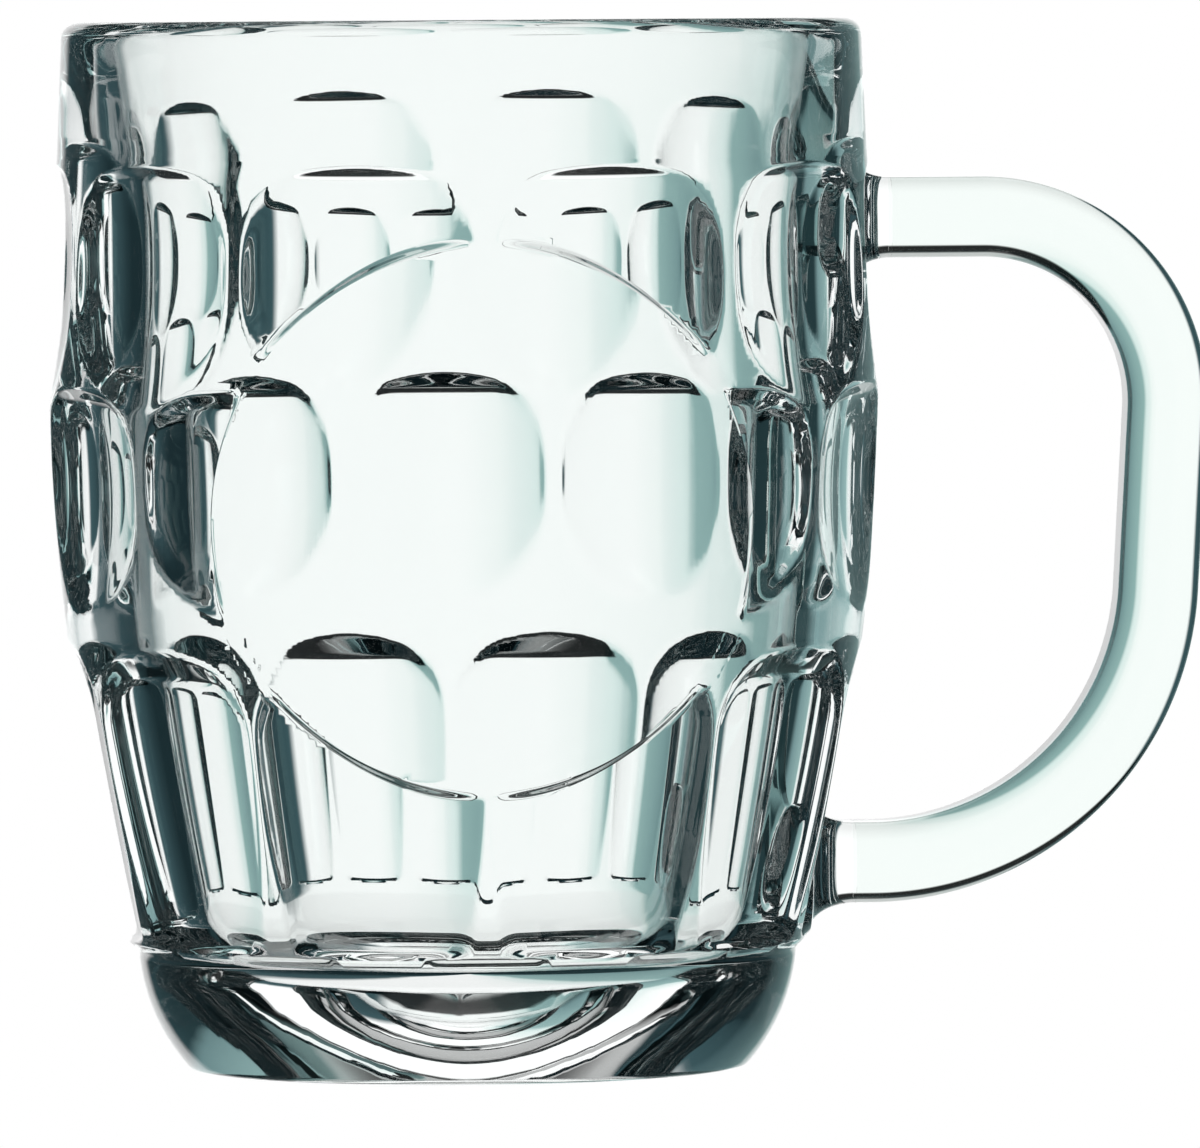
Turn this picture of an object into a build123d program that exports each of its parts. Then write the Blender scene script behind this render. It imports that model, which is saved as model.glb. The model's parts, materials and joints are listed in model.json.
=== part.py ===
from build123d import *
import math
import os

os.makedirs("parts", exist_ok=True)

# Millimetres, Z up. The mug's axis is Z and it stands on Z = 0. The handle points to +X and the plain
# shield faces -Y.

# Barrel, measured on the crests of the ribs
height = 127.0
belly_radius = 50.35
belly_height = 85.0
upper_bow = 281.0
lower_bow = 265.0
lip_band = 16.5
lip_draft = 2.4

# Rim and bowl
rim_width = 5.0
rim_flat = 0.8
lip_depth = 18.0
belly_wall = 9.35
bowl_bend_height = 74.0
floor_wall = 9.0
floor_height = 14.5
floor_round = 12.0
floor_dish = 8.0

# Base
base_height = 14.3
rib_step = 1.05
base_bow = 24.0
foot_inset = 6.1
foot_ring = 3.4
punt_depth = 2.6

# Dimples: two rows hollowed by upright drums with a bowed side, and flutes hollowed by leaning rollers.
# Heights are down from the lip band; the upper rows run out below by themselves.
columns = 10
rib_width = 1.8
drum_radius = 100.0
drum_bow = 47.0
drum_reach = 20.0
top_centre = 11.8
middle_drop = 27.2
middle_centre = 41.0
end_inset = 0.8
flute_drop = 58.7
flute_run = 4.0
flute_low_depth = 1.9
flute_high_depth = 3.1
ledge_run = 0.9

# Shield: the round plain field that the dimples stop at
shield_radius = 32.2
shield_height = 67.9

# Handle, and the flared bosses on the wall that carry its two ends
handle_thick = 9.8
handle_width = 12.6
handle_round = 3.3
handle_drop = 24.3
handle_rise = 24.3
handle_reach = 35.2
handle_lean = 1.2
top_bend = 22.5
low_run = 2.2
upper_boss_reach = 4.2
upper_boss_spread = 2.3
lower_boss_reach = 5.6
lower_boss_spread = 3.4
boss_root = 3.2

shoulder = height - lip_band
pitch = 360 / columns
rib_angle = math.radians(pitch / 2) - rib_width / 2 / belly_radius


def barrel(z):
    """Radius of the bowed barrel at a height, on the rib crests."""
    bow = upper_bow if z > belly_height else lower_bow
    return belly_radius - bow + math.sqrt(bow**2 - (z - belly_height) ** 2)


def crest(z):
    """Radius of the outside at a height: the barrel, and the straight band above it."""
    over = max(z - shoulder, 0)
    return barrel(z - over) - over * math.tan(math.radians(lip_draft))


# Base and bowl sizes that follow from the barrel
rib_foot = base_height + rib_step
base_radius = crest(rib_foot) - rib_step
foot_radius = base_radius - foot_inset
mouth_radius = crest(height) - rim_width
bowl_radius = belly_radius - belly_wall
floor_radius = crest(floor_height) - floor_wall


def dimple_block(low, high):
    """Block on +X between two heights, wide enough for one dimple."""
    half = belly_radius * math.tan(math.radians(pitch / 2))
    with Locations((belly_radius, 0, (low + high) / 2)):
        return Box(belly_radius / 2, 2 * half, high - low, mode=Mode.INTERSECT)


def drum_cutter(centre, high):
    """Cutter on +X for one dimple: a drum that comes out at the ribs at its widest height."""
    along, across = barrel(centre) * math.cos(rib_angle), barrel(centre) * math.sin(rib_angle)
    axis = along + math.sqrt(drum_radius**2 - across**2)
    face = axis - drum_radius
    end = face + drum_bow - math.sqrt(drum_bow**2 - drum_reach**2)
    low, top = centre - drum_reach, centre + drum_reach
    with BuildPart() as cutter:
        with BuildSketch(Plane.XZ):
            with BuildLine():
                ThreePointArc((end, low), (face, centre), (end, top))
                Polyline((end, top), (axis, top), (axis, low), (end, low))
            make_face()
        revolve(axis=Axis((axis, 0, 0), (0, 0, 1)))
        dimple_block(low, high)
    return cutter.part


def roller_cutter(low, high):
    """Cutter on +X for one flute: a roller that leans with the wall."""
    foot, head = low + ledge_run, high - flute_run
    floor_low, floor_high = crest(foot) - flute_low_depth, crest(head) - flute_high_depth
    lean = math.atan2(floor_high - floor_low, head - foot)
    axis = (floor_low + floor_high) / 2 + drum_radius / math.cos(lean)
    with BuildPart() as cutter:
        with Locations(Location((axis, 0, (foot + head) / 2), (0, math.degrees(lean), 0))):
            Cylinder(drum_radius, height)
        dimple_block(low, high - flute_run / 2)
    return cutter.part


def bar_section(x, z, grow):
    """Section of the handle's bar across X, grown all round."""
    with BuildSketch(Plane((x, 0, z), x_dir=(0, 1, 0), z_dir=(1, 0, 0))) as section:
        RectangleRounded(handle_width + 2 * grow, handle_thick + 2 * grow, handle_round + grow)
    return section.sketch


def boss_sections(joint, seat, z, spread):
    """Sections of one flared boss, from the joint with the handle to inside the wall."""
    turns = [math.radians(turn) for turn in (0, 22.5, 45, 67.5, 90)]
    sections = [
        bar_section(joint - (joint - seat) * math.sin(turn), z, spread * (1 - math.cos(turn)))
        for turn in turns
    ]
    sections.append(bar_section(seat - boss_root, z, spread + boss_root))
    return sections


shield = Location((0, -belly_radius, shield_height), (90, 0, 0)) * Cylinder(shield_radius, belly_radius)
rows = (
    (drum_cutter(shoulder - top_centre, shoulder - end_inset), 0),
    (drum_cutter(shoulder - middle_centre, shoulder - middle_drop - end_inset), pitch / 2),
    (roller_cutter(rib_foot, shoulder - flute_drop), 0),
)

# Handle joints, one on a top dimple and one on a flute
upper_z = height - handle_drop
lower_z = handle_rise
upper_seat = crest(upper_z) * math.cos(rib_angle)
lower_seat = crest(lower_z) * math.cos(rib_angle)
upper_joint = upper_seat + upper_boss_reach
lower_joint = lower_seat + lower_boss_reach

# Bowl: one turned section, then the dimples and the bosses
with BuildPart() as mug_body:
    with BuildSketch(Plane.XZ) as wall:
        with BuildLine():
            TangentArc((0, punt_depth), (foot_radius - foot_ring, 0), tangent=(1, 0))
            Line((foot_radius - foot_ring, 0), (foot_radius, 0))
            RadiusArc((foot_radius, 0), (base_radius, base_height), -base_bow)
            Line((base_radius, base_height), (crest(rib_foot), rib_foot))
            RadiusArc((crest(rib_foot), rib_foot), (belly_radius, belly_height), -lower_bow)
            RadiusArc((belly_radius, belly_height), (crest(shoulder), shoulder), -upper_bow)
            Line((crest(shoulder), shoulder), (crest(height), height))
            Line((crest(height), height), (mouth_radius, height))
            lip = (bowl_radius, height - lip_depth)
            TangentArc(lip, (mouth_radius, height), tangent=(0, 1))
            bend = (bowl_radius, bowl_bend_height)
            Line(lip, bend)
            TangentArc(bend, (floor_radius, floor_height), tangent=(0, -1))
            middle = (0, floor_height - floor_dish)
            TangentArc(middle, (floor_radius, floor_height), tangent=(1, 0))
            Line(middle, (0, punt_depth))
        make_face()
        fillet(wall.vertices().group_by(Axis.Y)[-1], radius=(rim_width - rim_flat) / 2)
        fillet(wall.vertices().sort_by_distance((floor_radius, floor_height))[0], radius=floor_round)
    revolve(axis=Axis.Z)
    for cutter, start in rows:
        for column in range(columns):
            dimple = cutter.rotate(Axis.Z, start + column * pitch) - shield
            if dimple.solids():
                add(dimple, mode=Mode.SUBTRACT)
    loft(boss_sections(upper_joint, upper_seat, upper_z, upper_boss_spread))
    loft(boss_sections(lower_joint, lower_seat, lower_z, lower_boss_spread))

# Handle: a bent bar that ends flat on the two bosses
far_x = belly_radius + handle_reach
low_bend = far_x - handle_lean - lower_joint - low_run
top_pivot = Vector(far_x - top_bend, upper_z - top_bend)
low_pivot = Vector(lower_joint + low_run, lower_z + low_bend)
between = low_pivot - top_pivot
grip_length = math.sqrt(between.length**2 - (low_bend - top_bend) ** 2)
grip_lean = math.acos((top_bend - low_bend) / between.length) + math.atan2(between.Y, between.X)
grip_lean = math.degrees(grip_lean)

with BuildPart() as handle:
    with BuildLine(Plane.XZ) as path:
        Line((upper_joint, upper_z), (top_pivot.X, upper_z))
        upper = JernArc((top_pivot.X, upper_z), (1, 0), top_bend, grip_lean - 90)
        grip = PolarLine(upper @ 1, grip_length, direction=upper % 1)
        JernArc(grip @ 1, grip % 1, low_bend, -90 - grip_lean)
        Line((low_pivot.X, lower_z), (lower_joint, lower_z))
    sweep(bar_section(upper_joint, upper_z, 0), path=path.line)

for name, piece in (("mug_body", mug_body), ("handle", handle)):
    piece.part.label = name
    export_step(piece.part, f"parts/{name}.step")
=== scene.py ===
"""Looks of a dimpled glass pint mug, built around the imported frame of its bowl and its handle.

The frame's axes hold throughout: Z up along the mug, +X out along the handle, -Y out through the plain
shield. The sizes of the mug are millimetres, and MM turns them into Blender's metres.
"""

import json
import logging
import math
from dataclasses import dataclass
from enum import Enum
from typing import Union

import bmesh
import bpy
import numpy as np
from mathutils import Matrix, Vector


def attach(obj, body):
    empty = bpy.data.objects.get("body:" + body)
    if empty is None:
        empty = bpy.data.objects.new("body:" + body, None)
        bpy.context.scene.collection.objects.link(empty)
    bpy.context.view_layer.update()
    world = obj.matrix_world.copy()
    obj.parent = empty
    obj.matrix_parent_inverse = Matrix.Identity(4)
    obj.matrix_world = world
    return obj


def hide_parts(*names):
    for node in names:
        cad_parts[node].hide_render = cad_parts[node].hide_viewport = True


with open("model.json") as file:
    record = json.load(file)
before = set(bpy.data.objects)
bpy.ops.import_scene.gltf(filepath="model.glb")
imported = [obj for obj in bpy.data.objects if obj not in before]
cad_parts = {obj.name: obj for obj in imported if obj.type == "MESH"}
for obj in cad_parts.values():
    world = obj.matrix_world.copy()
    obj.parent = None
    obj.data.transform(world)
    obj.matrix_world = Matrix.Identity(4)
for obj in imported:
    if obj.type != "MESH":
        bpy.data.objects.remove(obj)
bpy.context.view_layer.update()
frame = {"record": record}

log = logging.getLogger("mug")

MM = 0.001
SCRATCH_SCALE = 900.0
SCRATCH_DETAIL = 4.0

Number = Union[float, "Field"]
Colour = tuple[float, float, float]


class Piece(Enum):
    """The two pieces of the mug, by the name of the CAD node that each stands for."""

    BOWL = "mug_body"
    HANDLE = "handle"

    @property
    def slot(self) -> str:
        """The record's material slot of this piece."""
        subparts = frame["record"]["subparts"]
        return next(part["material_slot"] for part in subparts if part["node"] == self.value)


class Hollow(Enum):
    """The form that hollows a row of dimples: an upright drum with a bowed side, or a leaning roller."""

    DRUM = "drum"
    ROLLER = "roller"


class Field:
    """A value in a node tree, which arithmetic joins to others through Math nodes."""

    def __init__(self, tree: bpy.types.NodeTree, socket: bpy.types.NodeSocket) -> None:
        """Holds one output socket of a tree."""
        self.tree = tree
        self.socket = socket

    def math(self, operation: str, *others: Number) -> "Field":
        """Joins this value to others.

        Args:
            operation: The Math node's operation.
            others: Fields or plain numbers, in the order of the node's inputs.

        Returns:
            The node's result.
        """
        node = self.tree.nodes.new("ShaderNodeMath")
        node.operation = operation
        for socket, value in zip(node.inputs, (self, *others)):
            plug(self.tree, value, socket)
        return Field(self.tree, node.outputs[0])

    def __add__(self, other: Number) -> "Field":
        """Sum."""
        return self.math("ADD", other)

    def __sub__(self, other: Number) -> "Field":
        """Difference."""
        return self.math("SUBTRACT", other)

    def __mul__(self, other: Number) -> "Field":
        """Product."""
        return self.math("MULTIPLY", other)

    def __truediv__(self, other: Number) -> "Field":
        """Quotient."""
        return self.math("DIVIDE", other)

    def __abs__(self) -> "Field":
        """Size without the sign."""
        return self.math("ABSOLUTE")

    def least(self, other: Number, soft: Number = 0.0) -> "Field":
        """The smaller of two values, blended where they are less than soft apart."""
        return self.math("SMOOTH_MIN", other, soft)

    def most(self, other: Number, soft: Number = 0.0) -> "Field":
        """The larger of two values, blended where they are less than soft apart."""
        return self.math("SMOOTH_MAX", other, soft)

    def length(self, other: "Field") -> "Field":
        """Length of the right-angled pair of this value and another."""
        return (self * self + other * other).math("SQRT")


def plug(tree: bpy.types.NodeTree, value: object, socket: bpy.types.NodeSocket) -> None:
    """Links a field or a socket to an input, or sets a plain value on it."""
    value = value.socket if isinstance(value, Field) else value
    if isinstance(value, bpy.types.NodeSocket):
        tree.links.new(value, socket)
    else:
        socket.default_value = value


class NodeMaker:
    """A node tree to which nodes are added with their inputs given by name."""

    def __init__(self, tree: bpy.types.NodeTree) -> None:
        """Holds a tree."""
        self.tree = tree

    def node(self, kind: str, **inputs: object) -> bpy.types.Node:
        """Adds a node.

        Args:
            kind: The node's type.
            inputs: Values or sockets by input name, with _ for a space.

        Returns:
            The new node.
        """
        node = self.tree.nodes.new(kind)
        self.feed(node, **inputs)
        return node

    def feed(self, node: bpy.types.Node, **inputs: object) -> None:
        """Sets or links the inputs of a node.

        Args:
            node: The node.
            inputs: Values or sockets by input name, with _ for a space.
        """
        for label, value in inputs.items():
            plug(self.tree, value, node.inputs[label.replace("_", " ")])

    def parts(self, vector: bpy.types.NodeSocket) -> tuple[Field, Field, Field]:
        """The X, Y and Z of a vector socket."""
        split = self.node("ShaderNodeSeparateXYZ", Vector=vector)
        return tuple(Field(self.tree, output) for output in split.outputs)


class ShapeTree(NodeMaker):
    """A Geometry Nodes tree with named sizes, which shapes one object and is then made a plain mesh."""

    def __init__(self, name: str, sizes: dict[str, float]) -> None:
        """Makes the tree and its sockets.

        Args:
            name: The tree's name.
            sizes: The named inputs and the values that the modifier sets.
        """
        super().__init__(bpy.data.node_groups.new(name, "GeometryNodeTree"))
        self.sizes = sizes
        face = self.tree.interface
        face.new_socket("Geometry", in_out="INPUT", socket_type="NodeSocketGeometry")
        self.sockets = {
            label: face.new_socket(label, in_out="INPUT", socket_type="NodeSocketFloat") for label in sizes
        }
        face.new_socket("Geometry", in_out="OUTPUT", socket_type="NodeSocketGeometry")
        self.source = self.node("NodeGroupInput")
        self.sink = self.node("NodeGroupOutput")

    def size(self, label: str) -> Field:
        """The named input as a value."""
        return Field(self.tree, self.source.outputs[label])

    def close(self, geometry: bpy.types.NodeSocket, material: bpy.types.Material) -> None:
        """Ends the tree in smooth shading, Realize Instances and Set Material."""
        smooth = self.node("GeometryNodeSetShadeSmooth", Geometry=geometry)
        real = self.node("GeometryNodeRealizeInstances", Geometry=smooth.outputs["Geometry"])
        dressed = self.node("GeometryNodeSetMaterial", Geometry=real.outputs["Geometry"], Material=material)
        self.tree.links.new(dressed.outputs["Geometry"], self.sink.inputs["Geometry"])

    def shape(self, base: bpy.types.Object) -> bpy.types.Mesh:
        """Runs the tree on an object.

        Args:
            base: The object whose geometry enters the tree. It is removed afterwards.

        Returns:
            The result as a plain mesh.
        """
        modifier = base.modifiers.new(self.tree.name, "NODES")
        modifier.node_group = self.tree
        for label, value in self.sizes.items():
            modifier[self.sockets[label].identifier] = value
        return plain_mesh(base)


def plain_mesh(obj: bpy.types.Object) -> bpy.types.Mesh:
    """Evaluates an object with its modifiers and removes it.

    Args:
        obj: The object to turn into a mesh.

    Returns:
        Its evaluated mesh, with its materials and normals.
    """
    graph = bpy.context.evaluated_depsgraph_get()
    evaluated = obj.evaluated_get(graph)
    mesh = bpy.data.meshes.new_from_object(evaluated, preserve_all_data_layers=True, depsgraph=graph)
    bpy.data.objects.remove(obj)
    return mesh


def place(name: str, data: bpy.types.ID) -> bpy.types.Object:
    """Puts a mesh, curve or camera into the scene at the origin.

    Args:
        name: The object's name.
        data: Its data.

    Returns:
        The new object.
    """
    obj = bpy.data.objects.new(name, data)
    bpy.context.scene.collection.objects.link(obj)
    return obj


def line_points(start: np.ndarray, end: np.ndarray, step: float) -> np.ndarray:
    """Points along a straight stretch.

    Args:
        start: First point.
        end: Last point.
        step: Largest spacing.

    Returns:
        The points, both ends included.
    """
    count = max(math.ceil(np.linalg.norm(end - start) / step), 1)
    return start + (end - start) * np.linspace(0, 1, count + 1)[:, None]


def arc_points(start: np.ndarray, heading: float, end: np.ndarray, step: float) -> np.ndarray:
    """Points along the arc that leaves one point at a heading and reaches another.

    Args:
        start: First point.
        heading: Direction of travel at the first point, in radians.
        end: Last point.
        step: Largest spacing.

    Returns:
        The points, both ends included.
    """
    chord = end - start
    reach = np.linalg.norm(chord)
    bend = math.remainder(math.atan2(chord[1], chord[0]) - heading, math.tau)
    count = max(math.ceil(reach * bend / math.sin(bend) / step), 2)
    turn = np.linspace(0, 1, count + 1) * bend
    spread = reach * np.sin(turn) / math.sin(bend)
    return start + np.stack((spread * np.cos(heading + turn), spread * np.sin(heading + turn)), axis=1)


def round_corner(before: np.ndarray, after: np.ndarray, radius: float, step: float) -> np.ndarray:
    """Joins two stretches that share a corner by an arc.

    Args:
        before: Points that end at the corner.
        after: Points that start at the corner.
        radius: Radius of the arc.
        step: Largest spacing on the arc.

    Returns:
        Both stretches and the arc, in order.
    """
    corner = before[-1]
    back = before[-2] - corner
    on = after[1] - corner
    back, on = back / np.linalg.norm(back), on / np.linalg.norm(on)
    cut = radius / math.tan(math.acos(float(back @ on)) / 2)
    kept = before[np.linalg.norm(before - corner, axis=1) > cut + step / 2]
    rest = after[np.linalg.norm(after - corner, axis=1) > cut + step / 2]
    arc = arc_points(corner + back * cut, math.atan2(-back[1], -back[0]), corner + on * cut, step)
    return np.concatenate((kept, arc, rest))


def rounded_ring(width: float, depth: float, radius: float, per_corner: int) -> np.ndarray:
    """Points round a rectangle with rounded corners.

    Args:
        width: Size along the first axis.
        depth: Size along the second axis.
        radius: Radius of the corners.
        per_corner: Steps in each corner.

    Returns:
        The points, once round, without a repeat.
    """
    quarter = np.linspace(0, math.pi / 2, per_corner + 1)
    centres = np.array(((1, 1), (-1, 1), (-1, -1), (1, -1))) * (width / 2 - radius, depth / 2 - radius)
    rings = [
        centre + radius * np.stack((np.cos(first + quarter), np.sin(first + quarter)), axis=1)
        for centre, first in zip(centres, np.arange(4) * math.pi / 2)
    ]
    return np.concatenate(rings)


def mesh_of(name: str, points: np.ndarray, faces: list) -> bpy.types.Mesh:
    """Makes a mesh from points in millimetres.

    Args:
        name: The mesh's name.
        points: Its vertices.
        faces: Its faces, as lists of vertex numbers.

    Returns:
        The mesh, in metres.
    """
    mesh = bpy.data.meshes.new(name)
    mesh.from_pydata(points * MM, [], faces)
    return mesh


@dataclass(frozen=True)
class GlassFinish:
    """Clear fire-polished glass with a faint tint."""

    name: str
    tint: Colour = (0.965, 0.988, 0.98)
    ior: float = 1.52
    polish: float = 0.0
    wave_size: float = 26.0
    wave_height: float = 0.012
    scuff: float = 0.16
    scuff_height: float = 1.2

    def material(self) -> bpy.types.Material:
        """Builds the node material.

        Returns:
            The material, for a piece in the frame's own coordinates.
        """
        material = bpy.data.materials.new(self.name)
        material.use_nodes = True
        maker = NodeMaker(material.node_tree)
        skin = maker.node("ShaderNodeGroup")
        skin.node_tree = glass_skin()
        maker.feed(
            skin,
            Wave_Size=self.wave_size * MM,
            Polish=self.polish,
            Scuff=self.scuff,
            Scuff_Height=self.scuff_height * MM,
        )
        wave = skin.outputs["Wave"]
        bump = maker.node("ShaderNodeBump", Strength=1.0, Distance=self.wave_height * MM, Height=wave)
        maker.feed(
            maker.tree.nodes["Principled BSDF"],
            Base_Color=(*self.tint, 1),
            IOR=self.ior,
            Transmission_Weight=1.0,
            Roughness=skin.outputs["Roughness"],
            Normal=bump.outputs["Normal"],
        )
        return material


@dataclass(frozen=True)
class FusedSeat:
    """The hidden joint face where the handle has melted onto the bowl: glass runs on through it."""

    name: str = "fused_seat"

    def material(self) -> bpy.types.Material:
        """Builds the node material.

        Returns:
            The clear material of the joint faces.
        """
        material = bpy.data.materials.new(self.name)
        material.use_nodes = True
        material.node_tree.nodes["Principled BSDF"].inputs["Alpha"].default_value = 0.0
        return material


def glass_skin() -> bpy.types.NodeTree:
    """The shared surface of pressed glass: slow waves from the mould and scuffs where it stands.

    Returns:
        A shader group with Wave and Roughness outputs, built once.
    """
    name = "glass_skin"
    if name in bpy.data.node_groups:
        return bpy.data.node_groups[name]
    tree = bpy.data.node_groups.new(name, "ShaderNodeTree")
    labels = ("Wave Size", "Polish", "Scuff", "Scuff Height")
    for way, ends in (("INPUT", labels), ("OUTPUT", ("Wave", "Roughness"))):
        for label in ends:
            tree.interface.new_socket(label, in_out=way, socket_type="NodeSocketFloat")
    maker = NodeMaker(tree)
    source = maker.node("NodeGroupInput")
    wave_size, polish, scuff, scuff_height = (Field(tree, source.outputs[label]) for label in labels)
    spot = maker.node("ShaderNodeTexCoord").outputs["Object"]
    wave = maker.node("ShaderNodeTexNoise", Vector=spot, Scale=wave_size.math("POWER", -1.0), Detail=1.0)
    scratch = maker.node("ShaderNodeTexNoise", Vector=spot, Scale=SCRATCH_SCALE, Detail=SCRATCH_DETAIL)
    worn = (maker.parts(spot)[2] / scuff_height * -1.0 + 1.0).most(0.0)
    rough = polish + worn * scuff * Field(tree, scratch.outputs[0])
    maker.node("NodeGroupOutput", Wave=wave.outputs[0], Roughness=rough)
    return tree


@dataclass(frozen=True)
class DimpleRow:
    """One row of dimples round the barrel: the limits of their floors and the form that hollows them.

    The axis is how far the drum's or roller's own axis is from the mug's at the centre height.
    """

    name: str
    hollow: Hollow
    low: float
    high: float
    turn: float
    centre: float
    axis: float
    lean: float = 0.0


@dataclass(frozen=True)
class Bowl:
    """The pressed bowl: barrel wall with dimples and shield, rim, thick base and the two handle bosses."""

    height: float = 127.0
    belly_radius: float = 50.35
    belly_height: float = 85.0
    upper_bow: float = 281.0
    lower_bow: float = 265.0
    lip_band: float = 16.5
    lip_draft: float = 2.4
    rim_width: float = 5.0
    rim_flat: float = 0.8
    lip_depth: float = 18.0
    lip_round: float = 30.0
    belly_wall: float = 9.35
    bowl_bend_height: float = 74.0
    floor_wall: float = 9.0
    floor_height: float = 14.5
    floor_round: float = 12.0
    floor_dish: float = 8.0
    base_height: float = 14.3
    rib_step: float = 1.05
    base_bow: float = 24.0
    foot_inset: float = 6.1
    foot_ring: float = 3.4
    foot_round: float = 0.8
    punt_depth: float = 2.6
    dimple_count: int = 10
    rib_width: float = 1.8
    top_centre: float = 11.8
    middle_drop: float = 27.2
    middle_centre: float = 41.0
    flute_drop: float = 58.7
    drum_radius: float = 100.0
    drum_bow: float = 47.0
    drum_reach: float = 20.0
    dimple_round: float = 6.5
    flute_low_depth: float = 1.9
    flute_high_depth: float = 3.1
    end_run: float = 2.1
    flute_run: float = 3.8
    end_slope: float = 1.15
    end_softness: float = 0.9
    end_margin: float = 1.3
    flute_slope: float = 0.95
    ledge_run: float = 0.9
    ledge_slope: float = 2.4
    shield_wall: float = 1.4
    wall_rows: int = 5
    edge_softness: float = 0.4
    shield_radius: float = 32.2
    shield_height: float = 67.9
    fine_step: float = 0.4
    end_step: float = 0.2
    plain_step: float = 0.9
    side_step: float = 0.9
    bore_step: float = 3.4
    rib_zone: float = 2.2
    rib_columns: int = 6
    dimple_columns: int = 12
    crease: float = 40.0

    @property
    def shoulder(self) -> float:
        """Height where the dimples end and the plain lip begins."""
        return self.height - self.lip_band

    @property
    def rib_foot(self) -> float:
        """Height where the ribs start above the base."""
        return self.base_height + self.rib_step

    @property
    def pitch(self) -> float:
        """Angle between two dimples of a row, in radians."""
        return math.tau / self.dimple_count

    @property
    def dimple_angle(self) -> float:
        """Angle from a dimple's middle to its rib, in radians."""
        return self.pitch / 2 - self.rib_width / 2 / self.belly_radius

    def crest(self, z: float) -> float:
        """Radius of the outside at a height, on the crests of the ribs."""
        over = max(z - self.shoulder, 0)
        bow = self.upper_bow if z - over > self.belly_height else self.lower_bow
        sag = bow - math.sqrt(bow**2 - (z - over - self.belly_height) ** 2)
        return self.belly_radius - sag - over * math.tan(math.radians(self.lip_draft))

    def seat(self, z: float) -> float:
        """Distance of a dimple's floor from the axis at a height."""
        return self.crest(z) * math.cos(self.dimple_angle)

    def drum_axis(self, centre: float) -> float:
        """Distance from the mug's axis to the axis of the drum that hollows a dimple.

        Args:
            centre: Height of the drum's widest place, where the hollow comes out at the ribs.

        Returns:
            The distance.
        """
        radius = self.crest(centre)
        across = radius * math.sin(self.dimple_angle)
        return radius * math.cos(self.dimple_angle) + math.sqrt(self.drum_radius**2 - across**2)

    def rows(self) -> list[DimpleRow]:
        """The hollow floors of the three rows of dimples, from the lip down.

        Returns:
            The top row, the middle row, half a pitch round from it, and the flutes down to the base.
        """
        top, middle = self.shoulder - self.top_centre, self.shoulder - self.middle_centre
        top_high = self.shoulder - self.end_run
        middle_high = top_high - self.middle_drop
        drums = (("Top", top, top_high, 0.0), ("Middle", middle, middle_high, self.pitch / 2))
        rows = []
        for name, centre, high, turn in drums:
            low, axis = centre - self.drum_reach, self.drum_axis(centre)
            rows.append(DimpleRow(name, Hollow.DRUM, low, high, turn, centre, axis))
        low, high = self.rib_foot + self.ledge_run, self.shoulder - self.flute_drop - self.flute_run
        low_floor = self.crest(low) - self.flute_low_depth
        high_floor = self.crest(high) - self.flute_high_depth
        lean = (high_floor - low_floor) / (high - low)
        axis = low_floor + self.drum_radius
        rows.append(DimpleRow("Flute", Hollow.ROLLER, low, high, 0.0, low, axis, lean))
        return rows

    def heights(self) -> list[float]:
        """Heights of the grid's rings on the barrel, close together at the ends of the dimples.

        Returns:
            The heights, from the foot of the ribs to the lip.
        """
        *drums, flutes = self.rows()
        ends = [(row.high - self.end_softness / 2, row.high + self.end_run, self.end_step) for row in drums]
        ends.append((flutes.high, flutes.high + self.end_margin * self.flute_run, self.fine_step))
        ends.append((self.rib_foot, flutes.low, self.fine_step))
        heights = [self.rib_foot]
        while heights[-1] < self.shoulder:
            z = heights[-1]
            close = [step for low, high, step in ends if low <= z < high]
            next_end = min((low for low, high, step in ends if low > z), default=self.height)
            heights.append(z + close[0] if close else min(z + self.plain_step, next_end))
        return heights

    def section(self) -> tuple[np.ndarray, np.ndarray, np.ndarray]:
        """The turned section, from the axis under the base, up the outside and down the bowl to the axis.

        Returns:
            Points as radius and height: the base, the barrel, and the rim with the inside.
        """
        step, fine = self.plain_step, self.fine_step
        heights = self.heights()
        base_radius = self.crest(self.rib_foot) - self.rib_step
        foot = np.array((base_radius - self.foot_inset, 0.0))
        ring = foot - (self.foot_ring, 0.0)
        base = np.array((base_radius, self.base_height))
        rim = np.array((self.crest(self.height), self.height))
        mouth = rim - (self.rim_width, 0.0)
        bowl_radius = self.belly_radius - self.belly_wall
        lip = np.array((bowl_radius, self.height - self.lip_depth))
        bend = np.array((bowl_radius, self.bowl_bend_height))
        floor = np.array((self.crest(self.floor_height) - self.floor_wall, self.floor_height))

        punt = arc_points(np.array((0.0, self.punt_depth)), 0.0, ring, self.bore_step)
        under = line_points(ring, foot, fine)
        rise = base - foot
        swell = math.asin(np.linalg.norm(rise) / 2 / self.base_bow)
        side = arc_points(foot, math.atan2(rise[1], rise[0]) - swell, base, self.side_step)
        barrel = np.array([(self.crest(z), z) for z in heights])
        lip_side = line_points(barrel[-1], rim, self.bore_step)
        rim_top = line_points(rim, mouth, fine)
        flare = line_points(mouth, lip, self.bore_step)
        bore = line_points(lip, bend, self.bore_step)
        cone = arc_points(bend, -math.pi / 2, floor, self.bore_step)
        middle = np.array((0.0, self.floor_height - self.floor_dish))
        bottom = arc_points(middle, 0.0, floor, self.bore_step)[::-1]

        rim_round = (self.rim_width - self.rim_flat) / 2
        under = round_corner(punt, under, self.foot_round, fine)
        under = round_corner(under, side, self.foot_round, fine)
        top = round_corner(lip_side[1:], rim_top, rim_round, fine)
        top = round_corner(top, flare, rim_round, fine)
        top = round_corner(top, bore, self.lip_round, step)
        inside = round_corner(cone[1:], bottom, self.floor_round, step)
        return under, barrel, np.concatenate((top, inside))

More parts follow.
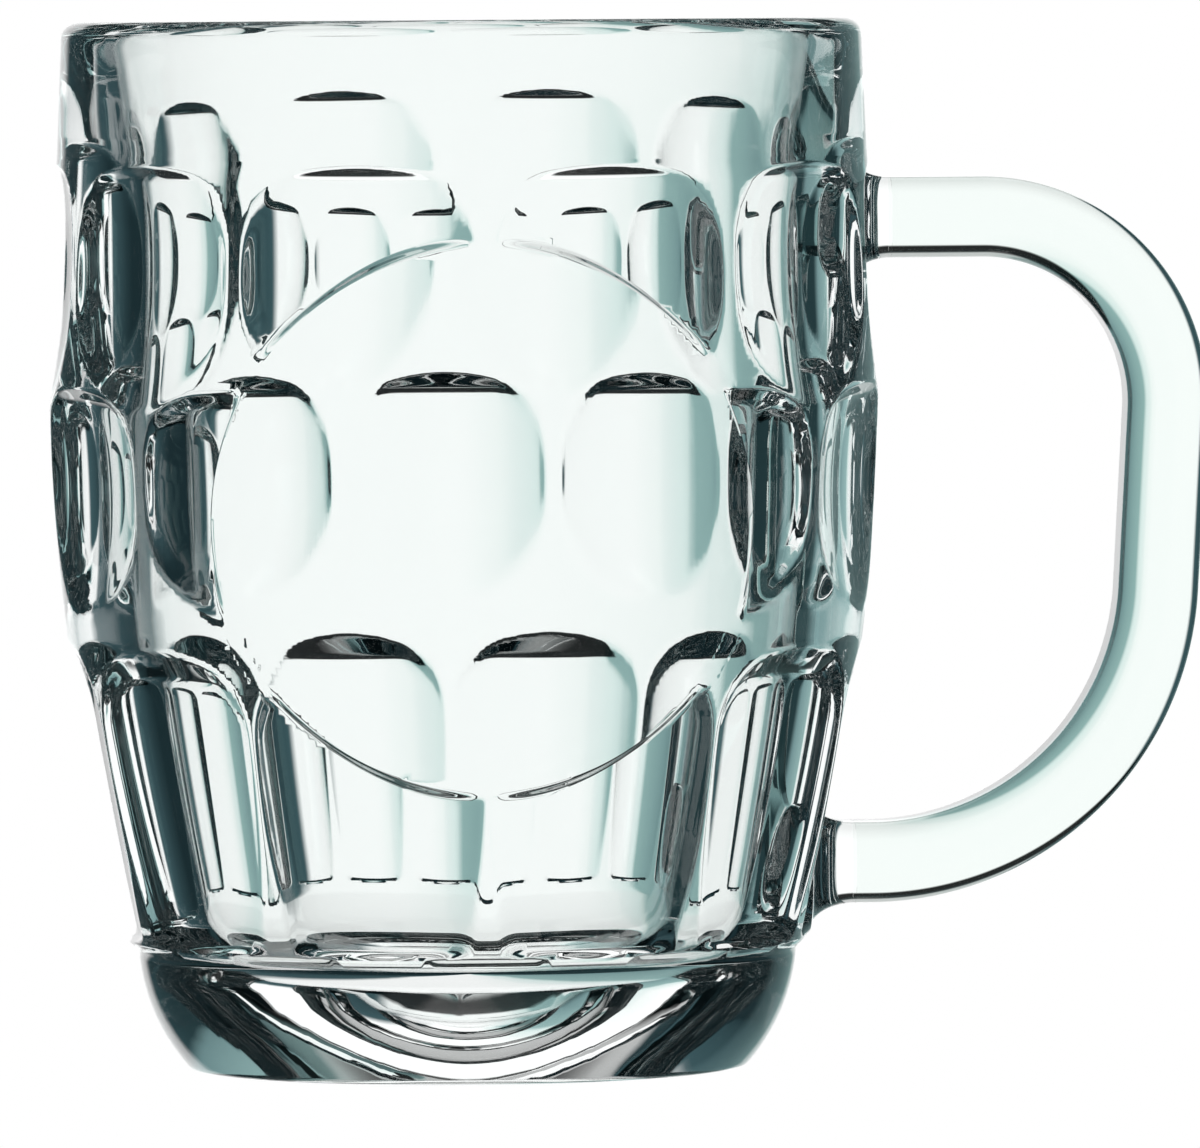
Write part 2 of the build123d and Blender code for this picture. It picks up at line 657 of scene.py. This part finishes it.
    def turns(self) -> np.ndarray:
        """Angles of the grid's columns, close together at the ribs.

        Returns:
            The angles once round, an even number of them.
        """
        half, close = self.pitch / 2, self.rib_zone / self.belly_radius
        near = np.linspace(0, close, self.rib_columns, endpoint=False)
        across = np.linspace(close, half - close, self.dimple_columns, endpoint=False)
        stretch = np.concatenate((near, across, half - close + near))
        return (np.arange(2 * self.dimple_count)[:, None] * half + stretch).ravel()

    def lathe(self) -> bpy.types.Mesh:
        """Turns the section into a closed mesh.

        Returns:
            The plain turned bowl, before its dimples, with every second column left out off the barrel.
        """
        under, barrel, inside = self.section()
        turns = self.turns()
        wall = self.turned(barrel, turns)
        inner = self.meet_shield(wall)
        grids = (self.turned(under[1:], turns[::2]), wall, self.turned(inside[:-1], turns[::2]))
        *starts, count = np.cumsum([len(ring) for grid in grids for ring in grid])
        rings = np.split(np.arange(count), starts)
        plain = np.zeros(count + 2, bool)
        first = rings[len(grids[0])][0]
        plain[first : first + inner.size] = inner.ravel()
        faces = []
        for ring, after in zip(rings, rings[1:]):
            for face in self.strip(ring, after):
                faces += self.split(face, plain)
        for pole, ring in ((count, rings[0][::-1]), (count + 1, rings[-1])):
            faces += [(pole, a, b) for a, b in zip(ring.tolist(), np.roll(ring, -1).tolist())]
        poles = [(0, 0, under[0][1]), (0, 0, inside[-1][1])]
        points = np.concatenate([grid.reshape(-1, 3) for grid in grids] + [poles])
        return mesh_of("turned_bowl", *self.grade_wall(points, faces, plain))

    @staticmethod
    def turned(section: np.ndarray, turns: np.ndarray) -> np.ndarray:
        """Rings of points: a section turned round the axis."""
        radius, z = section[:, :1], section[:, 1:]
        return np.stack(np.broadcast_arrays(radius * np.cos(turns), radius * np.sin(turns), z), axis=-1)

    @staticmethod
    def strip(ring: np.ndarray, after: np.ndarray) -> list:
        """Faces between two rings, of which one may have twice the points of the other.

        Args:
            ring: Vertex numbers of the first ring.
            after: Vertex numbers of the next ring along the section.

        Returns:
            Quads, or triangles where the count changes.
        """
        next_ring, next_after = np.roll(ring, -1), np.roll(after, -1)
        if len(ring) == len(after):
            return np.stack((ring, next_ring, next_after, after), axis=1).tolist()
        if len(ring) < len(after):
            middle, last = after[1::2], np.roll(after[::2], -1)
            corners = ((ring, middle, after[::2]), (ring, next_ring, middle), (next_ring, last, middle))
        else:
            middle, last = ring[1::2], np.roll(ring[::2], -1)
            corners = ((ring[::2], middle, after), (middle, next_after, after), (middle, last, next_after))
        return np.concatenate([np.stack(corner, axis=1) for corner in corners]).tolist()

    @staticmethod
    def split(face: list, plain: np.ndarray) -> list:
        """Cuts a quad at the shield's edge so that the cut runs along the edge.

        Args:
            face: The face's vertex numbers.
            plain: For each vertex, whether it lies on the shield.

        Returns:
            The face itself, or two triangles where the edge doesn't pass it from side to side.
        """
        marks = [bool(plain[corner]) for corner in face]
        count = sum(marks)
        if len(face) == 3 or count in (0, 4) or (count == 2 and marks[0] != marks[2]):
            return [face]
        odd = marks.index(count != 3)
        a, b, c, d = face[odd:] + face[:odd]
        return [(a, b, c), (c, d, a)] if count == 2 else [(d, a, b), (b, c, d)]

    def grade_wall(self, points: np.ndarray, faces: list, plain: np.ndarray) -> tuple[np.ndarray, list]:
        """Divides the faces of the low wall round the shield into narrow rows, so that its slope is smooth.

        Args:
            points: The mesh's vertices.
            faces: Its faces, as lists of vertex numbers.
            plain: For each vertex, whether it lies on the shield.

        Returns:
            The vertices and faces with the rows added.
        """
        rungs, added, shares = {}, [], np.arange(1, self.wall_rows) / self.wall_rows

        def rung(inner: int, outer: int) -> list:
            """Vertex numbers down the wall, from the shield to the dimple."""
            if (inner, outer) not in rungs:
                first = len(points) + len(added)
                for x, _, z in points[inner] + (points[outer] - points[inner]) * shares[:, None]:
                    added.append((x, -math.sqrt(self.crest(z) ** 2 - x**2), z))
                rungs[inner, outer] = [inner, *range(first, len(points) + len(added)), outer]
            return rungs[inner, outer]

        graded = []
        for face in faces:
            marks = [bool(plain[corner]) for corner in face]
            if len(set(marks)) == 1:
                graded.append(face)
                continue
            start = next(k for k, mark in enumerate(marks) if mark and not marks[k - 1])
            turned = list(face[start:]) + list(face[:start])
            inner, outer = turned[: sum(marks)], turned[sum(marks) :]
            left, right = rung(inner[0], outer[-1]), rung(inner[-1], outer[0])
            for row in range(self.wall_rows):
                corners = (left[row], right[row], right[row + 1], left[row + 1])
                graded.append(tuple(dict.fromkeys(corners)))
        return np.concatenate((points, added)), graded

    def meet_shield(self, points: np.ndarray) -> np.ndarray:
        """Draws the barrel's grid up to both edges of the low wall round the shield.

        Args:
            points: The grid, as rings of points. The ones next to the wall are moved onto its edges.

        Returns:
            For each point, whether it lies on the shield.
        """
        x, y, z = np.moveaxis(points, -1, 0).copy()
        crest = np.vectorize(self.crest)
        from_middle = np.hypot(x, z - self.shield_height)
        gap = np.where(y < 0, from_middle - self.shield_radius, self.belly_radius)
        inner = gap < self.shield_wall / 2
        beside = np.zeros_like(inner)
        for axis in (0, 1):
            for way in (-1, 1):
                beside |= np.roll(inner, way, axis) != inner
        hold = self.fine_step / 2
        on_shield = np.where(beside, 0.0, np.minimum(gap, -hold))
        off_shield = np.where(beside, self.shield_wall, np.maximum(gap, self.shield_wall + hold))
        share = (self.shield_radius + np.where(inner, on_shield, off_shield)) / np.maximum(from_middle, MM)
        share = np.where(y < 0, share, 1.0)
        points[..., 0] = x * share
        points[..., 2] = self.shield_height + (z - self.shield_height) * share
        depth = np.sqrt(np.maximum(crest(points[..., 2]) ** 2 - points[..., 0] ** 2, 0.0))
        points[..., 1] = np.where(share == 1.0, y, -depth)
        return inner

    def dimple_tree(self, material: bpy.types.Material) -> ShapeTree:
        """The rule of the dimpled wall.

        Each dimple is a hollow between two ribs, a drum's in the upper rows and a roller's in the flutes.
        Its ends slope in from a rounded outline and it stops at the shield's round edge. The rule finds how
        far each point of the outside sinks towards the axis.

        Args:
            material: The glass that the wall gets.

        Returns:
            The tree, with every size as a named input.
        """
        rows = self.rows()
        sizes = {
            "Pitch": self.pitch,
            "Half Width": (self.belly_radius * math.tan(self.pitch / 2) - self.end_run) * MM,
            "Corner": self.dimple_round * MM,
            "End Slope": self.end_slope,
            "Flute Slope": self.flute_slope,
            "Ledge Slope": self.ledge_slope,
            "End Softness": self.end_softness * MM,
            "Edge Softness": self.edge_softness * MM,
        }
        for label in ("Drum Radius", "Drum Bow", "Shield Wall", "Shield Radius", "Shield Height"):
            sizes[label] = getattr(self, label.lower().replace(" ", "_")) * MM
        for row in rows:
            sizes[f"{row.name} Turn"] = row.turn
            sizes[f"{row.name} Lean"] = row.lean
            for label in ("low", "high", "centre", "axis"):
                sizes[f"{row.name} {label.title()}"] = getattr(row, label) * MM
        rule = ShapeTree("dimple_rule", sizes)
        x, y, z = rule.parts(rule.node("GeometryNodeInputPosition").outputs[0])
        out_x, out_y, _ = rule.parts(rule.node("GeometryNodeInputNormal").outputs[0])
        radius = x.length(y)
        angle = y.math("ARCTAN2", x)
        soft = rule.size("Edge Softness")

        far_side = y.math("GREATER_THAN", 0.0)
        shield_edge = x.length(z - rule.size("Shield Height")) - rule.size("Shield Radius")
        clear = (shield_edge / rule.size("Shield Wall")).most(far_side).least(1.0)
        depth = None
        for row in rows:
            sunk = self.row_depth(rule, row, radius, angle, z)
            depth = sunk if depth is None else depth.most(sunk)
        depth = depth.most(0.0, soft) * clear * clear * (clear * -2.0 + 3.0)
        outward = (x * out_x + y * out_y).math("GREATER_THAN", 0.0)
        share = (depth * outward / radius) * -1.0 + 1.0

        moved = rule.node("ShaderNodeCombineXYZ", X=x * share, Y=y * share, Z=z).outputs[0]
        whole = rule.source.outputs["Geometry"]
        shaped = rule.node("GeometryNodeSetPosition", Geometry=whole, Position=moved)
        rule.close(shaped.outputs["Geometry"], material)
        return rule

    def row_depth(self, rule: ShapeTree, row: DimpleRow, radius: Field, angle: Field, z: Field) -> Field:
        """Depth of one row's dimples under the barrel, below zero outside them.

        Args:
            rule: The tree that the nodes join.
            row: The row.
            radius: Radius of each point.
            angle: Angle of each point round the axis.
            z: Height of each point.

        Returns:
            The depth, in metres.
        """
        pitch, soft, corner = (rule.size(label) for label in ("Pitch", "Edge Softness", "Corner"))
        low, high, centre, axis, lean, turn = (
            rule.size(f"{row.name} {label}") for label in ("Low", "High", "Centre", "Axis", "Lean", "Turn")
        )
        turned = angle - turn
        off = turned - (turned / pitch).math("ROUND") * pitch
        up = z.most(low).least(high) - centre
        reach = axis + up * lean
        across = reach * off.math("SINE")
        drum = rule.size("Drum Radius")
        if row.hollow is Hollow.DRUM:
            bow = rule.size("Drum Bow")
            drum = drum - bow + (bow * bow - up * up).math("SQRT")
        depth = radius - reach * off.math("COSINE") + (drum * drum - across * across).math("SQRT")

        if row.hollow is Hollow.ROLLER:
            depth = depth - (low - z).most(0.0, soft) * rule.size("Ledge Slope")
            low = low - corner
        over = abs(radius * off.math("SINE")) - rule.size("Half Width") + corner
        beyond = abs(z - (low + high) / 2.0) - (high - low) / 2.0 + corner
        outer = over.most(0.0).length(beyond.most(0.0))
        outside = outer + over.most(beyond).least(0.0) - corner
        slope = rule.size("Flute Slope" if row.hollow is Hollow.ROLLER else "End Slope")
        return depth - outside.most(0.0, rule.size("End Softness")) * slope

    def build(self, bosses: bpy.types.Mesh, glass: GlassFinish, seat: FusedSeat) -> bpy.types.Object:
        """Builds and dresses the bowl.

        Args:
            bosses: The flared handle bosses, as closed shells that reach into the wall.
            glass: The bowl's glass.
            seat: The finish of the hidden joint faces.

        Returns:
            The finished piece.
        """
        material = glass.material()
        dimpled = self.dimple_tree(material).shape(place("turned_bowl", self.lathe()))
        whole = place("whole_bowl", dimpled)
        stubs = place("boss_stubs", bosses)
        bosses.materials.append(material)
        join = whole.modifiers.new("fuse_bosses", "BOOLEAN")
        join.operation, join.solver, join.object = "UNION", "MANIFOLD", stubs
        mesh = plain_mesh(whole)
        bpy.data.objects.remove(stubs)
        mesh.set_sharp_from_angle(angle=math.radians(self.crease))
        mesh.name = "bowl"
        bowl = place("bowl", mesh)
        mesh.materials.append(seat.material())
        return bowl


@dataclass(frozen=True)
class Handle:
    """The D-shaped handle, a bent bar of glass, and the flared bosses on the bowl that carry its ends."""

    bowl: Bowl
    thick: float = 9.8
    width: float = 12.6
    round: float = 3.3
    drop: float = 24.3
    rise: float = 24.3
    reach: float = 35.2
    lean: float = 1.2
    top_bend: float = 22.5
    low_run: float = 2.2
    upper_boss_reach: float = 4.2
    upper_boss_spread: float = 2.3
    lower_boss_reach: float = 5.6
    lower_boss_spread: float = 3.4
    boss_root: float = 3.2
    hair_gap: float = 0.02
    seat_slack: float = 0.08
    seat_facing: float = 0.8
    step: float = 0.5
    corner_steps: int = 14
    flare_steps: int = 18

    @property
    def upper_z(self) -> float:
        """Height of the upper arm's middle."""
        return self.bowl.height - self.drop

    @property
    def upper_joint(self) -> float:
        """Distance of the upper joint face from the axis."""
        return self.bowl.seat(self.upper_z) + self.upper_boss_reach

    @property
    def lower_joint(self) -> float:
        """Distance of the lower joint face from the axis."""
        return self.bowl.seat(self.rise) + self.lower_boss_reach

    def path(self) -> np.ndarray:
        """The bar's middle line, from the upper joint round to the lower one.

        Returns:
            Points as distance from the axis and height.
        """
        far = self.bowl.belly_radius + self.reach
        low_bend = far - self.lean - self.lower_joint - self.low_run
        top = np.array((far - self.top_bend, self.upper_z - self.top_bend))
        low = np.array((self.lower_joint + self.low_run, self.rise + low_bend))
        between = low - top
        span = math.acos((self.top_bend - low_bend) / np.linalg.norm(between))
        side = span + math.atan2(between[1], between[0])
        out = np.array((math.cos(side), math.sin(side)))
        start = np.array((self.upper_joint + self.hair_gap, self.upper_z))
        shoulder = np.array((top[0], self.upper_z))
        grip_top, grip_foot = top + out * self.top_bend, low + out * low_bend
        heel = np.array((low[0], self.rise))
        end = np.array((self.lower_joint + self.hair_gap, self.rise))
        stretches = (
            line_points(start, shoulder, self.step),
            arc_points(shoulder, 0.0, grip_top, self.step),
            line_points(grip_top, grip_foot, self.step),
            arc_points(grip_foot, side - math.pi / 2, heel, self.step),
            line_points(heel, end, self.step),
        )
        return np.concatenate([stretches[0], *(stretch[1:] for stretch in stretches[1:])])

    def bosses(self) -> bpy.types.Mesh:
        """The two flared bosses, each from its joint face to inside the bowl's wall.

        Returns:
            Two closed shells in one mesh.
        """
        ends = (
            (self.upper_joint, self.upper_boss_reach, self.upper_z, self.upper_boss_spread),
            (self.lower_joint, self.lower_boss_reach, self.rise, self.lower_boss_spread),
        )
        points, faces = [], []
        turns = np.linspace(0, math.pi / 2, self.flare_steps)
        for joint, reach, z, spread in ends:
            stations = [(joint - reach * math.sin(t), spread * (1 - math.cos(t))) for t in turns]
            stations.append((joint - reach - self.boss_root, spread + self.boss_root))
            first = len(points)
            for x, grow in stations:
                width, thick = self.width + 2 * grow, self.thick + 2 * grow
                ring = rounded_ring(width, thick, self.round + grow, self.corner_steps)
                points.append(np.column_stack((np.full(len(ring), x), ring[:, 0], ring[:, 1] + z)))
            rings = np.arange(len(points) * len(ring)).reshape(len(points), -1)[first:]
            for here, after in zip(rings, rings[1:]):
                faces += np.stack((here, after, np.roll(after, -1), np.roll(here, -1)), axis=1).tolist()
            faces += [rings[0].tolist(), rings[-1][::-1].tolist()]
        return mesh_of("boss_stubs", np.concatenate(points), faces)

    def bar_tree(self, material: bpy.types.Material) -> ShapeTree:
        """The bent bar: a rounded rectangle that follows the path.

        Args:
            material: The glass that the bar gets.

        Returns:
            The tree, with the section's sizes as named inputs.
        """
        sizes = {"Width": self.width * MM, "Thickness": self.thick * MM, "Corner": self.round * MM}
        bar = ShapeTree("bent_bar", sizes)
        width, thickness = bar.size("Width"), bar.size("Thickness")
        section = bar.node("GeometryNodeCurvePrimitiveQuadrilateral", Width=width, Height=thickness)
        soft = bar.node("GeometryNodeFilletCurve")
        soft.mode = "POLY"
        bar.feed(soft, Curve=section.outputs["Curve"], Radius=bar.size("Corner"), Count=self.corner_steps)
        level = bar.node("GeometryNodeSetCurveNormal")
        level.mode = "FREE"
        bar.feed(level, Curve=bar.source.outputs["Geometry"], Normal=(0, 1, 0))
        route, profile = level.outputs["Curve"], soft.outputs["Curve"]
        swept = bar.node("GeometryNodeCurveToMesh", Curve=route, Profile_Curve=profile, Fill_Caps=True)
        bar.close(swept.outputs["Mesh"], material)
        return bar

    def build(self, glass: GlassFinish, seat: FusedSeat) -> bpy.types.Object:
        """Builds and dresses the handle.

        Args:
            glass: The handle's glass.
            seat: The finish of the hidden joint faces.

        Returns:
            The finished piece.
        """
        route = bpy.data.curves.new("handle_path", "CURVE")
        route.dimensions = "3D"
        spline = route.splines.new("POLY")
        path = self.path() * MM
        spline.points.add(len(path) - 1)
        for knot, (x, z) in zip(spline.points, path):
            knot.co = (x, 0, z, 1)
        mesh = self.bar_tree(glass.material()).shape(place("handle_path", route))
        mesh.set_sharp_from_angle(angle=math.radians(self.bowl.crease))
        bar = place("bent_bar", mesh)
        bar.modifiers.new("flat_sides", "WEIGHTED_NORMAL").keep_sharp = True
        mesh = plain_mesh(bar)
        mesh.name = "handle_bar"
        mesh.materials.append(seat.material())
        return place("handle_bar", mesh)

    def mark_seats(self, piece: bpy.types.Object) -> int:
        """Gives the joint faces of a piece its second material.

        Args:
            piece: The bowl or the handle.

        Returns:
            How many faces were marked.
        """
        joints = ((self.upper_joint, self.upper_z), (self.lower_joint, self.rise))
        marked = 0
        for face in piece.data.polygons:
            x, y, z = face.center / MM
            for joint, height in joints:
                level = abs(x - joint) < self.seat_slack and abs(face.normal.x) > self.seat_facing
                if level and abs(z - height) < self.thick / 2 and abs(y) < self.width / 2:
                    face.material_index = 1
                    marked += 1
        return marked


def lit(name: str) -> tuple[bpy.types.Material, bpy.types.ShaderNodeEmission]:
    """A material that only gives light.

    Args:
        name: Name of the material.

    Returns:
        The material, and the node whose colour is its light.
    """
    material = bpy.data.materials.new(name)
    material.use_nodes = True
    material.cycles.emission_sampling = "NONE"
    nodes = material.node_tree.nodes
    nodes.remove(nodes["Principled BSDF"])
    light = nodes.new("ShaderNodeEmission")
    material.node_tree.links.new(light.outputs["Emission"], nodes["Material Output"].inputs["Surface"])
    return material, light


def stage_mesh(
    name: str, shape: bmesh.types.BMesh, material: bpy.types.Material, *hidden: str
) -> bpy.types.Object:
    """Makes an object of the stage from a shape.

    Args:
        name: The object's name.
        shape: Its shape, which is freed.
        material: Its light.
        hidden: Kinds of rays that don't see it, as in its visibility settings.

    Returns:
        The object.
    """
    mesh = bpy.data.meshes.new(name)
    shape.to_mesh(mesh)
    shape.free()
    mesh.materials.append(material)
    obj = place(name, mesh)
    for ray in hidden:
        setattr(obj, f"visible_{ray}", False)
    return obj


@dataclass(frozen=True)
class Surround:
    """What the glass is seen against: a bright sheet behind it, dark sides and a dark ceiling.

    The light of a direction is its colour around times its share upward. Angles are degrees from the middle
    of the sheet, to the right and up.
    """

    name: str = "surround"
    radius: float = 20.0
    divisions: int = 4
    around: tuple[tuple[float, Colour], ...] = (
        (-180.0, (0.006, 0.014, 0.018)),
        (-60.0, (0.012, 0.027, 0.032)),
        (-27.0, (0.055, 0.11, 0.125)),
        (-21.0, (1.16, 1.16, 1.16)),
        (2.0, (1.16, 1.16, 1.16)),
        (9.0, (1.06, 1.1, 1.09)),
        (10.0, (0.97, 1.04, 1.03)),
        (15.0, (0.84, 0.97, 0.95)),
        (18.0, (0.34, 0.52, 0.51)),
        (28.0, (0.28, 0.44, 0.44)),
        (40.0, (0.2, 0.33, 0.34)),
        (46.0, (0.02, 0.045, 0.05)),
        (180.0, (0.006, 0.014, 0.018)),
    )
    upward: tuple[tuple[float, float], ...] = (
        (-90.0, 0.85),
        (-35.0, 0.85),
        (-15.0, 1.0),
        (17.0, 1.0),
        (19.0, 0.02),
        (33.0, 0.02),
        (37.0, 0.5),
        (50.0, 0.5),
        (60.0, 0.0),
    )

    @staticmethod
    def ramp(angle: Field, stops: list[tuple[float, Colour]]) -> bpy.types.NodeSocket:
        """Looks an angle up in a list of colours.

        Args:
            angle: The angle, in radians.
            stops: Degrees and the colour there, in rising order.

        Returns:
            The colour.
        """
        node = angle.tree.nodes.new("ShaderNodeValToRGB")
        elements = node.color_ramp.elements
        elements.remove(elements[-1])
        for index, (degrees, colour) in enumerate(stops):
            element = elements.new(degrees / 360 + 0.5) if index else elements[0]
            element.position = degrees / 360 + 0.5
            element.color = (*colour, 1)
        plug(angle.tree, angle / math.tau + 0.5, node.inputs[0])
        return node.outputs["Color"]

    def material(self) -> bpy.types.Material:
        """Builds the light as a pattern in the shell's own coordinates.

        Returns:
            The material.
        """
        material, light = lit(self.name)
        maker = NodeMaker(material.node_tree)
        spot = maker.node("ShaderNodeTexCoord").outputs["Object"]
        unit = maker.node("ShaderNodeVectorMath", Vector=spot)
        unit.operation = "NORMALIZE"
        right, ahead, up = maker.parts(unit.outputs["Vector"])
        shares = [(degrees, (share,) * 3) for degrees, share in self.upward]
        around = self.ramp(right.math("ARCTAN2", ahead), list(self.around))
        maker.feed(light, Color=around, Strength=self.ramp(up.math("ARCSINE"), shares))
        return material

    def build(self, camera: bpy.types.Object, turn: float, height: float) -> None:
        """Builds the shell and ties it to the camera, so that the sheet stays behind the mug.

        Args:
            camera: The placed camera.
            turn: How far the view is turned about the mug's axis, in radians.
            height: Height of the shell's centre.
        """
        shell = bmesh.new()
        bmesh.ops.create_icosphere(shell, subdivisions=self.divisions, radius=self.radius)
        hidden = ("camera", "diffuse", "shadow", "volume_scatter")
        dome = stage_mesh(self.name, shell, self.material(), *hidden)
        dome.location = (0, 0, height)
        dome.rotation_euler = (0, 0, turn)
        dome.parent = camera
        stand = Matrix.LocRotScale(camera.location, camera.rotation_euler, None)
        dome.matrix_parent_inverse = stand.inverted()


@dataclass(frozen=True)
class Studio:
    """The stage: camera, floor and light."""

    photo_width: int = 1200
    focal_pixels: float = 14000.0
    distance: float = 1.70
    eye_height: float = 0.127
    azimuth: float = -3.2
    roll: float = -0.4
    aim_right: float = 0.0164
    aim_height: float = 0.0596
    sensor_width: float = 36.0
    clip_end: float = 200.0
    floor_radius: float = 30.0
    floor_sides: int = 64
    bounces: int = 32
    glossy_bounces: int = 16
    clear_bounces: int = 24

    def camera(self) -> bpy.types.Object:
        """Puts the camera where the photograph was taken from.

        Returns:
            The scene's camera.
        """
        data = bpy.data.cameras.new("camera")
        data.sensor_width = self.sensor_width
        data.lens = self.sensor_width * self.focal_pixels / self.photo_width
        data.clip_end = self.clip_end
        camera = place("camera", data)
        around = math.radians(self.azimuth)
        right = Vector((math.cos(around), math.sin(around), 0))
        ahead = Vector((-math.sin(around), math.cos(around), 0))
        camera.location = ahead * -self.distance + Vector((0, 0, self.eye_height))
        aim = right * self.aim_right + Vector((0, 0, self.aim_height))
        turn = (aim - camera.location).to_track_quat("-Z", "Y").to_matrix()
        roll = Matrix.Rotation(math.radians(self.roll), 3, "Z")
        camera.rotation_euler = (turn @ roll).to_euler()
        bpy.context.scene.camera = camera
        return camera

    def floor(self) -> None:
        """Lays a white floor that only the camera sees, so that the glass shows the surround."""
        disc = bmesh.new()
        bmesh.ops.create_circle(disc, cap_ends=True, segments=self.floor_sides, radius=self.floor_radius)
        material, _ = lit("white_floor")
        floor = stage_mesh("floor", disc, material, "transmission", "glossy", "diffuse", "shadow")

    def build(self) -> None:
        """Builds the stage and sets how light is traced."""
        camera = self.camera()
        self.floor()
        Surround().build(camera, math.radians(self.azimuth), self.aim_height)
        scene = bpy.context.scene
        scene.view_settings.view_transform = "Standard"
        scene.cycles.use_denoising = True
        scene.cycles.max_bounces = scene.cycles.transmission_bounces = self.bounces
        scene.cycles.glossy_bounces = self.glossy_bounces
        scene.cycles.transparent_max_bounces = self.clear_bounces
        world = bpy.data.worlds.new("studio")
        world.use_nodes = True
        world.node_tree.nodes["Background"].inputs["Color"].default_value = (1, 1, 1, 1)
        scene.world = world


def main() -> None:
    """Builds the mug and its stage and reports each piece."""
    seat = FusedSeat()
    bowl = Bowl()
    handle = Handle(bowl)
    pieces = {
        Piece.BOWL: bowl.build(handle.bosses(), GlassFinish("clear_bowl_glass"), seat),
        Piece.HANDLE: handle.build(GlassFinish("clear_handle_glass", tint=(0.87, 0.925, 0.9)), seat),
    }
    for kind, piece in pieces.items():
        seats = handle.mark_seats(piece)
        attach(piece, "root")
        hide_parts(kind.value)
        log.info("%s: %d faces, %d of them joint faces", piece.name, len(piece.data.polygons), seats)
    Studio().build()


if __name__ == "__main__":
    logging.basicConfig(level=logging.INFO)
    main()
